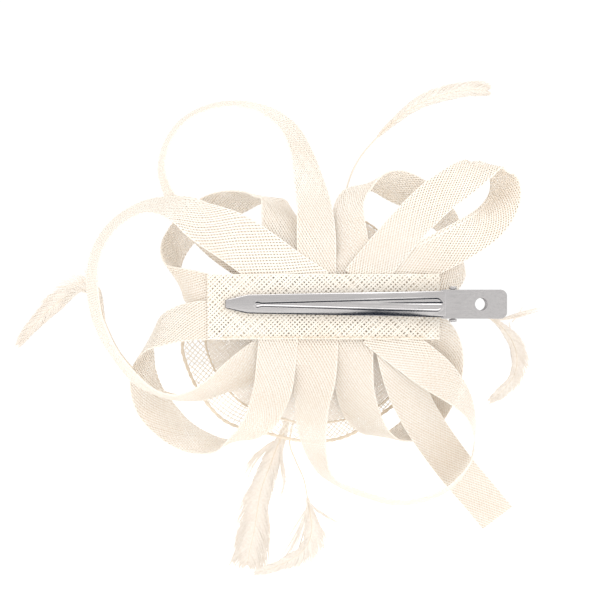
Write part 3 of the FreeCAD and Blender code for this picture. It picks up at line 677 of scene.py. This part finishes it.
# %% Discs
disc_x, disc_z = -10.0, -5.5
inner_level = 7.6
net_level = 10.6
inner_rim = [(0, 1.04, 6.8), (30, 1.07, 6.0), (60, 1.10, 6.6), (90, 1.01, 5.8),
             (120, 0.91, 6.2), (150, 0.84, 5.6), (175, 0.99, 6.4), (197, 1.06, 7.0),
             (227, 1.06, 6.0), (252, 1.01, 6.8), (280, 1.02, 6.0), (308, 1.08, 6.8),
             (335, 1.06, 6.0)]
net_rim = [(0, 0.97, 8.2), (30, 0.92, 7.2), (60, 0.86, 7.8), (90, 0.83, 7.0),
           (120, 0.77, 7.4), (150, 0.71, 6.8), (172, 0.90, 7.8), (195, 1.06, 8.6),
           (226, 1.07, 7.8), (253, 0.97, 7.2), (283, 0.98, 7.0), (306, 0.95, 8.8),
           (335, 0.99, 7.6)]


def rim_at(rows, turn):
    """Radius share and rise of a rim at each angle in degrees, eased between the rows."""
    table = np.array(rows + [(rows[0][0] + 360,) + rows[0][1:]])
    turn = np.mod(turn, 360)
    k = np.clip(np.searchsorted(table[:, 0], turn, side="right") - 1, 0, len(table) - 2)
    t = (turn - table[k, 0]) / (table[k + 1, 0] - table[k, 0])
    t = (t * t * (3 - 2 * t))[:, None]
    both = table[k, 1:] * (1 - t) + table[k + 1, 1:] * t
    return both[:, 0], both[:, 1]


def disc_place(rows, radius, level):
    """A function that moves points in the unit circle onto the dished disc."""

    def place(flat):
        reach = np.hypot(flat[:, 0], flat[:, 1])
        turn = np.degrees(np.arctan2(flat[:, 1], flat[:, 0]))
        share, rise = rim_at(rows, turn)
        r = reach * share * radius
        angle = np.radians(turn)
        return np.stack([disc_x + r * np.cos(angle),
                         level + rise * reach ** 2 + flat[:, 2],
                         disc_z + r * np.sin(angle)], axis=1) * mm

    return place


def disc_weave(radius, pitch, thread, turns, layer_step, seed):
    """Families of straight threads inside the unit circle; z stays in millimetres."""
    chance = random.Random(seed)
    cloth = bmesh.new()
    for number, turn in enumerate(turns):
        bm = bmesh.new()
        bmesh.ops.create_grid(bm, x_segments=32, y_segments=1, size=0.5)
        bmesh.ops.scale(bm, verts=bm.verts, vec=(2, thread / radius, 1))
        bmesh.ops.translate(bm, verts=bm.verts, vec=(0, -1, layer_step * number))
        each = len(bm.verts)
        count = int(2 * radius / pitch)
        copy_by_doubling(bm, bm.verts[:] + bm.edges[:] + bm.faces[:], count,
                         (0, pitch / radius, 0))
        bm.verts.ensure_lookup_table()
        spare = []
        for k in range(len(bm.verts) // each):
            row = bm.verts[k * each:(k + 1) * each]
            middle = sum(v.co.y for v in row) / each
            if abs(middle) > 0.985:
                spare.extend(row)
                continue
            chord = math.sqrt(1 - middle ** 2) - thread / radius / 2
            shift = chance.gauss(0, 0.08 * pitch / radius)
            for vert in row:
                vert.co.x *= chord
                vert.co.y += shift
        bmesh.ops.delete(bm, geom=spare, context="VERTS")
        bmesh.ops.rotate(bm, verts=bm.verts, matrix=Matrix.Rotation(math.radians(turn), 3, "Z"))
        pour(bm, cloth, 0)
    return cloth


def make_disc(name, node, rows, radius, level, pitch, thread, thick, turns, step, finish,
              seed):
    """A woven disc in place of a CAD node; pitch, thread and step are in millimetres."""
    cloth = disc_weave(radius, pitch, thread, turns, step, seed)
    disc = finish_piece(name, cloth, [finish, finish], disc_place(rows, radius, level))
    add_thickness(disc, thick)
    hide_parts(node)
    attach(disc, "headpiece")
    share, rise = rim_at(rows, np.arange(0, 360, 2.0))
    print(name, len(disc.data.polygons), "thread faces")


inner_radius, net_radius = 35.5, 43.5
make_disc("inner_disc_cloth", "inner_disc", inner_rim, inner_radius, inner_level, 0.62, 0.38,
          0.00008, (38, -47), 0.07, disc_fibre, 41)
make_disc("net_disc_cloth", "net_disc", net_rim, net_radius, net_level, 1.30, 0.30,
          0.00022, (52, -38), 0.12, net_fibre, 42)

# %% [markdown]
# A cord is whipped round each rim. Its section is a flat oval that turns as it goes, so it
# catches the light in short strokes, as two strands wound on each other do.

# %% Rim cords


def rim_cord(name, node, rows, radius, level, across, thick, twists):
    """A two-strand cord round a disc's rim."""
    bm = bmesh.new()
    bmesh.ops.create_circle(bm, segments=8, radius=1)
    bmesh.ops.rotate(bm, verts=bm.verts, matrix=Matrix.Rotation(math.radians(90), 3, "Y"))
    steps = 420
    bmesh.ops.spin(bm, geom=bm.edges[:], cent=(0, 0, 0), axis=(0, 0, 1), angle=0,
                   dvec=(360 / steps, 0, 0), steps=steps)
    share, rise = rim_at(rows, np.array([v.co.x for v in bm.verts]))
    for k, vert in enumerate(bm.verts):
        turn, a, b = vert.co
        roll = math.radians(turn * twists / 2)
        a, b = a * across, b * thick
        a, b = a * math.cos(roll) - b * math.sin(roll), a * math.sin(roll) + b * math.cos(roll)
        r = radius * share[k] + across + a
        angle = math.radians(turn)
        vert.co = Vector((disc_x + r * math.cos(angle), level + rise[k] + b,
                          disc_z + r * math.sin(angle))) * mm
    bmesh.ops.remove_doubles(bm, verts=bm.verts, dist=1e-6)
    bmesh.ops.recalc_face_normals(bm, faces=bm.faces)
    cord = finish_piece(name, bm, [cord_fibre])
    for face in cord.data.polygons:
        face.use_smooth = True
    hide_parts(node)
    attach(cord, "headpiece")
    print(name, len(cord.data.polygons), "faces")


rim_cord("inner_rim_cord", "inner_edge", inner_rim, inner_radius, inner_level, 0.42, 0.30, 90)
rim_cord("net_rim_cord", "net_edge", net_rim, net_radius, net_level, 0.70, 0.48, 100)

# %% [markdown]
# The feathers are stripped and cut by hand: a bare quill, then a narrow vane whose barbs
# lie close to the shaft and part into wisps. A flat blade would never split like that, so
# every barb is its own slim tapering strip that leaves the shaft at a shallow angle and
# bends a little towards the tip.

# %% Feathers


def barb(bm, root, along, side, out, reach, spread, broad, lift):
    """One tapering barb: leaves the shaft sideways and then lies down along it."""
    fresh = bmesh.ops.create_grid(bm, x_segments=5, y_segments=1, size=0.5)["verts"]
    for vert in fresh:
        t = vert.co.x + 0.5
        taper = broad * (1 - 0.8 * t)
        line = root + along * (reach * t) + side * (spread * (1 - (1 - t) ** 1.7))
        vert.co = line + out * (lift * t) + (side - along * 0.3) * (vert.co.y * taper)


def make_feather(name, rows, slant, seed, every=0.18, ragged=0.20, wisps=()):
    """A quill with two rows of barbs; rows are x, y, z, lean and vane width."""
    chance = random.Random(seed)
    run = Run(rows, mm)
    vane = bmesh.new()
    at = 0.0
    tilt = math.radians(slant)
    while at < run.length:
        spot = float(np.interp(at, run.at, np.arange(len(run.at))))
        k = int(spot)
        wide = float(np.interp(at, run.at, run.share)) * mm
        place = Vector(run.place[k])
        ahead = Vector(run.place[min(k + 1, len(run.at) - 1)])
        behind = Vector(run.place[max(k - 1, 0)])
        along = (ahead - behind).normalized()
        across = Vector(run.across[k])
        out = Vector(run.normal[k])
        if wide > 1.25 * mm:
            for hand in (1, -1):
                fill = chance.uniform(1 - ragged, 1.06)
                barb(vane, place, along, across * hand, out,
                     min(wide / 2 / math.tan(tilt), run.length + 0.002 - at) * fill,
                     wide / 2 * fill, 0.0005, chance.uniform(-0.0008, 0.0008))
        at += every * mm
    for start, end, bow, count, spread in wisps:
        a = Vector(start) * mm
        b = Vector(end) * mm
        for number in range(count):
            reach = b + Vector((chance.uniform(-1, 1), 0, chance.uniform(-1, 1))) * spread * mm
            reach.y += chance.uniform(-1.2, 1.2) * mm
            run_to = reach - a
            along = run_to.normalized()
            side = Vector((0, 1, 0)).cross(along)
            fresh = bmesh.ops.create_grid(vane, x_segments=6, y_segments=1, size=0.5)["verts"]
            for vert in fresh:
                t = vert.co.x + 0.5
                vert.co = (a + run_to * t + side * (4 * bow * mm * t * (1 - t))
                           + side * (vert.co.y * 0.0005 * (1 - 0.8 * t)))
    barbs = finish_piece(name + "_barbs", vane, [plume])
    shaft = bmesh.new()
    steps = 60
    bmesh.ops.create_circle(shaft, segments=6, radius=1)
    bmesh.ops.rotate(shaft, verts=shaft.verts,
                     matrix=Matrix.Rotation(math.radians(90), 3, "Y"))
    bmesh.ops.spin(shaft, geom=shaft.edges[:], cent=(0, 0, 0), axis=(0, 0, 1), angle=0,
                   dvec=(run.length / steps, 0, 0), steps=steps)
    for vert in shaft.verts:
        thin = 0.00042 * (1 - 0.8 * vert.co.x / run.length)
        vert.co.y *= thin
        vert.co.z *= thin
    bmesh.ops.recalc_face_normals(shaft, faces=shaft.faces)
    share = run.share
    run.share = np.ones_like(share)
    quill = finish_piece(name + "_quill", shaft, [quill_horn], run.bend)
    run.share = share
    for piece in (barbs, quill):
        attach(piece, "headpiece")
    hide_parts(name)
    print(name, len(barbs.data.polygons), "barb faces")


# %% [markdown]
# Five plumes, each from its root between the discs to its tip. A table gives the run and
# the vane's width. Wisps are loose barbs that part from the vane.

# %% Five plumes
feather_root = 12.8
make_feather("feather_top_right", [
    (-5, feather_root, 5, 0, 0.8), (-1, 16.6, 20, 0, 0.8), (1.2, 20.8, 31, 0, 0.8),
    (3.6, 23.2, 43.5, 0, 0.8), (7.5, 24, 52, 0, 1.0), (13, 24, 58.7, 0, 1.0),
    (19.8, 24, 65.2, 0, 3.0), (28.5, 24, 71.5, 0, 5.0), (39.0, 24, 75.4, 0, 5.4),
    (48, 24, 76.8, 0, 4.8), (53.5, 24, 76.6, 0, 1.4)], 22, 51)
make_feather("feather_left", [
    (-20, feather_root + 0.4, -12, 0, 0.8), (-38, 20.5, -24, 0, 0.8),
    (-50, 25, -31.5, 0, 0.8), (-60, 27.5, -32.5, 0, 0.8), (-70, 28, -27, 0, 0.8),
    (-78.5, 26, -17.5, 0, 0.8), (-83.5, 22, -6, 0, 1.2), (-86.0, 20, 2, 0, 5.0),
    (-90.5, 19.5, 5.2, 0, 7.0), (-97.5, 19.5, 2.2, 0, 6.4), (-104.3, 19.5, -3.4, 0, 4.6),
    (-110, 19.5, -9.4, 0, 3.4), (-113.6, 19.5, -14.2, 0, 1.4)], 24, 52,
    wisps=[((-88, 20, 8), (-91, 20, 12.4), 0.3, 3, 0.5),
           ((-104, 19.5, -4), (-114.4, 19.5, -15.6), -0.4, 5, 0.5)])
make_feather("feather_right", [
    (1.5, feather_root, -6, 0, 0.8), (14, 16.2, -5.2, 0, 0.8), (26, 19.9, -4.6, 0, 0.8),
    (36, 22, -4.4, 0, 0.8), (46, 22, -4.4, 0, 0.8), (54, 22, -5.2, 0, 1.0),
    (58.5, 22, -8.4, 0, 4.2), (62.0, 22, -13, 0, 5.8), (63.8, 22, -19, 0, 5.4),
    (63.0, 22, -25, 0, 4.6), (59.2, 22, -30.4, 0, 3.6), (54.3, 22, -34.6, 0, 1.2)], 24, 53,
    wisps=[((56, 22, -5.6), (70.5, 22, -1.8), 0.6, 9, 0.9),
           ((56, 22, -5.8), (66.5, 22, -3.4), 0.4, 9, 0.8),
           ((57, 22, -6.0), (73.5, 22, -1.2), -0.6, 2, 0.3),
           ((61, 22, -6.5), (68.8, 22, -23.2), 1.6, 3, 0.4),
           ((62, 22, -6.5), (65.6, 22, -1.0), 0.2, 2, 0.3),
           ((62.5, 22, -22), (64.6, 22, -27.0), 0.3, 4, 0.7)])
make_feather("feather_bottom_left", [
    (-14.5, feather_root, -15, 0, 0.8), (-17, 20, -31, 0, 0.8), (-19.0, 22.5, -44, 0, 2.8),
    (-22.2, 23.5, -52, 0, 7.0), (-25.2, 23.5, -60, 0, 8.4), (-27.6, 23.5, -66.5, 0, 11.0),
    (-29.0, 23.5, -74, 0, 12.4), (-30.2, 23.5, -82, 0, 12.6), (-31.6, 23.5, -88, 0, 9.5),
    (-32.6, 23.5, -93.4, 0, 2.4)], 26, 54,
    wisps=[((-23, 23.5, -49), (-34.0, 23.5, -61.5), 1.2, 16, 1.6),
           ((-21, 23.5, -49), (-32.0, 23.5, -58.0), 1.0, 14, 1.6),
           ((-20, 23.5, -50), (-19.0, 23.5, -64.0), 0.8, 12, 0.9),
           ((-20, 23.5, -56), (-21.4, 23.5, -70.5), -1.4, 5, 0.5)])
make_feather("feather_bottom_right", [
    (-9.5, feather_root, -15, 0, 0.8), (-13.5, 18.2, -33, 0, 0.8),
    (-17.4, 20.5, -49, 0, 0.8), (-14.9, 19.6, -56.5, 0, 0.8), (-12.4, 18, -62, 0, 0.8),
    (-11.0, 17.5, -69, 0, 1.4), (-10.0, 17, -75, 0, 6.6), (-9.6, 16.5, -80.5, 0, 7.6),
    (-11.6, 16, -85.8, 0, 6.4), (-17.0, 15.5, -90.2, 0, 4.0), (-23.6, 15, -93.0, 0, 3.0),
    (-29.6, 15, -94.9, 0, 1.2)], 26, 55,
    wisps=[((-11, 17, -71), (-19.6, 17, -90.0), -1.0, 16, 1.6),
           ((-11, 17, -72), (-13.4, 17, -87.5), -0.5, 14, 1.4),
           ((-12, 17, -73), (-18.2, 17, -82.5), -0.2, 4, 0.5),
           ((-11, 17, -69.5), (-4.2, 17, -75.4), 0.4, 12, 0.8),
           ((-7, 17, -73), (0.2, 17, -78.4), 0.2, 5, 0.8),
           ((-7, 17, -78), (-2.9, 17, -84.6), 0.2, 5, 0.9),
           ((-8, 17, -80), (-5.4, 17, -87.2), 0.2, 8, 0.9)])

# %% [markdown]
# On the side that shows when worn, the middle is covered by a small rolled rose of the same
# strip. It is one narrow sleeve wound on edge, so its run is a spiral with a lean of
# about 90 degrees.

# %% Rolled rose
low, high = (np.array(corner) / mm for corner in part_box("centre_knot"))
rose_middle = (low + high) / 2
rose_steps = 45
rose_rows = []
for step in range(rose_steps + 1):
    turn = math.radians(-24 * step)
    r = 1.3 + (high[0] - low[0] - 2.8) / 2 * step / rose_steps
    wave = 0.5 * math.sin(step * 1.1)
    rose_rows.append((rose_middle[0] + r * math.cos(turn), rose_middle[1] + 0.3 * wave,
                      rose_middle[2] + 0.82 * r * math.sin(turn), 90 + 14 * wave))
rose_run = Run(rose_rows, 0.0058)
make_strip("rose_weave", rose_run, "centre_knot", seed=700)

# %% [markdown]
# The clip is bent from thin nickel-plated spring steel. Its brushed finish is drawn along
# the clip as fine streaks in tone and height, and slow patches of wear in roughness.

# %% Steel finish
steel, steel_tree, steel_shader = bare_material("clip steel", (0.50, 0.51, 0.53, 1), 0.3, 1.0)
places = steel_tree.nodes.new("ShaderNodeTexCoord")
stretch = steel_tree.nodes.new("ShaderNodeMapping")
stretch.inputs["Scale"].default_value = (14, 900, 900)
steel_tree.links.new(places.outputs["Object"], stretch.inputs["Vector"])
brushed = noise(steel_tree, stretch.outputs["Vector"], 3.0, 3.0)
wear = noise(steel_tree, places.outputs["Object"], 60.0, 3.0)
streaked = span(steel_tree, brushed, 0.3, 0.7)
tone = blend_colours(steel_tree, streaked, (0.52, 0.505, 0.51, 1), (0.46, 0.45, 0.455, 1))
steel_tree.links.new(tone, steel_shader.inputs["Base Color"])
rough = span(steel_tree, wear, 0.3, 0.7, 0.16, 0.28)
steel_tree.links.new(rough, steel_shader.inputs["Roughness"])
add_bump(steel_tree, brushed, steel_shader, 0.0000012)

# %% [markdown]
# Ears, levers and pin come from the frame; what they lack is the small round on every edge
# that catches a line of light. A copy of each is merged and its sharp edges are bevelled,
# all but the rim of the lever hole, which is punched clean.

# %% Rounded copies of the clip's parts


def rounded_copy(node, name, offset, keep_past=None, hole_from_end=None):
    """A copy of a CAD node with its doubles merged and its sharp edges rounded."""
    bm = bmesh.new()
    bm.from_mesh(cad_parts[node].data)
    bmesh.ops.remove_doubles(bm, verts=bm.verts, dist=1e-6)
    if keep_past is not None:
        trim(bm, (keep_past, 0, 0), (-1, 0, 0))
    bmesh.ops.dissolve_limit(bm, angle_limit=0.01, verts=bm.verts, edges=bm.edges)
    sharp = [e for e in bm.edges if len(e.link_faces) == 2 and e.calc_face_angle(0) > 0.6]
    if hole_from_end is not None:
        hole_x = max(v.co.x for v in bm.verts) - hole_from_end
        sharp = [e for e in sharp
                 if math.hypot(e.verts[0].co.x - hole_x, e.verts[0].co.z) > 0.0028]
    bmesh.ops.bevel(bm, geom=sharp, offset=offset, segments=2, profile=0.5, material=-1,
                    affect="EDGES", clamp_overlap=True)
    bmesh.ops.triangulate(bm, faces=[f for f in bm.faces if len(f.verts) > 4],
                          ngon_method="EAR_CLIP")
    return finish_steel(name, bm)


def finish_steel(name, bm):
    piece = finish_piece(name, bm, [steel])
    for face in piece.data.polygons:
        face.use_smooth = True
    piece.data.set_sharp_from_angle(angle=math.radians(35))
    piece.modifiers.new("even shading", "WEIGHTED_NORMAL").keep_sharp = True
    return piece


# %% [markdown]
# The moving jaw's face is seen closest, so it is pressed anew from a fine grid: bowed along
# its length, crowned across, with a channel that widens towards the hinge, a bead round
# the channel and a crease along its middle.

# %% Pressed jaw
jaw_back = np.array([(-39.3, -0.15), (-25.3, -0.65), (-5, -1.55), (15, -2.55),
                     (34.0, -4.05), (38.3, -4.35)])
jaw_half = np.array([(-39.3, 1.3), (-38.9, 1.5), (-31.6, 3.25), (34.0, 4.5), (38.3, 4.6)])
channel_from, channel_to = -29.0, 34.7


def channel_depth_at(x, z):
    """How far the pressed channel lowers or raises the face, in millimetres."""
    share = np.clip((x - channel_from) / (channel_to - channel_from), 0, 1)
    half = 0.45 + 1.75 * share + 0.40 * np.exp(-((x - channel_from - 0.8) / 0.9) ** 2)
    middle = np.clip(x, channel_from + 0.45, channel_to - 2.2)
    gap = np.hypot(x - middle, z) - half
    bead = np.exp(-(gap / 0.30) ** 2)
    inside = 1 / (1 + np.exp(gap / 0.14))
    crease = 0.30 * np.clip((x - 3) / 28, 0, 1)
    core = np.exp(-((z - 0.25) / 0.36) ** 2) * inside * crease
    return 0.16 * inside - 0.20 * bead + core


bm = bmesh.new()
bmesh.ops.create_grid(bm, x_segments=220, y_segments=72, size=0.5)
for vert in bm.verts:
    x = -39.3 + 75.0 * (vert.co.x + 0.5)
    v = 2 * vert.co.y
    z = v * np.interp(x, jaw_half[:, 0], jaw_half[:, 1])
    fade = np.interp(x, [-39.3, -22, 0, 12, 24, 31, 34], [0.08, 0.12, 0.45, 0.9, 0.7, 0.2, 0])
    side = 1.05 if v < 0 else 0.6
    crown = side * v ** 2 * fade + 0.22 * abs(v) ** 12
    tip = 0.5 * np.clip((-38.6 - x) / 0.7, 0, 1) ** 2
    y = np.interp(x, jaw_back[:, 0], jaw_back[:, 1]) - 0.55 + crown + tip
    y += channel_depth_at(x, z)
    vert.co = (x * mm, min(y, -0.2) * mm, z * mm)
jaw = finish_steel("moving_jaw_pressed", bm)
if sum(face.normal.y for face in jaw.data.polygons) > 0:
    jaw.data.flip_normals()
solid = jaw.modifiers.new("sheet", "SOLIDIFY")
solid.thickness = 0.0003
solid.offset = -1
ears = rounded_copy("moving_jaw", "moving_jaw_ears", 0.00012, 0.0348, 0.0082)
fixed = rounded_copy("fixed_jaw", "fixed_jaw_bent", 0.00008, None, 0.0082)
pin = rounded_copy("hinge_pin", "hinge_pin_turned", 0.00012)
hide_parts("moving_jaw")
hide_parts("fixed_jaw")
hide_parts("hinge_pin")
for piece, body, slot in ((jaw, "jaw", "clip_steel"), (ears, "jaw", "clip_steel"),
                          (fixed, "headpiece", "clip_steel"), (pin, "headpiece", "pin_steel")):
    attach(piece, body)
    print(piece.name, len(piece.data.polygons), "faces")

# %% [markdown]
# The spring winds up as the jaw opens: one leg stays with the glued jaw and the other goes
# with the moving one. A smooth-shaded copy of its mesh, with doubles merged, takes its place.
# The glue seam stays as the frame has it.

# %% Spring and glue
bm = bmesh.new()
bm.from_mesh(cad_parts["torsion_spring"].data)
bmesh.ops.remove_doubles(bm, verts=bm.verts, dist=1e-6)
spring = finish_piece("torsion_spring_wound", bm, [steel])
for face in spring.data.polygons:
    face.use_smooth = True
low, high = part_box("torsion_spring")
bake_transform(spring)
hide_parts("torsion_spring")
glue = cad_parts["clip_glue"]
glue.data.materials.clear()
glue.data.materials.append(fold_fibre)
print("spring blended over", round((high[2] - low[2]) / mm, 1), "mm of pin")
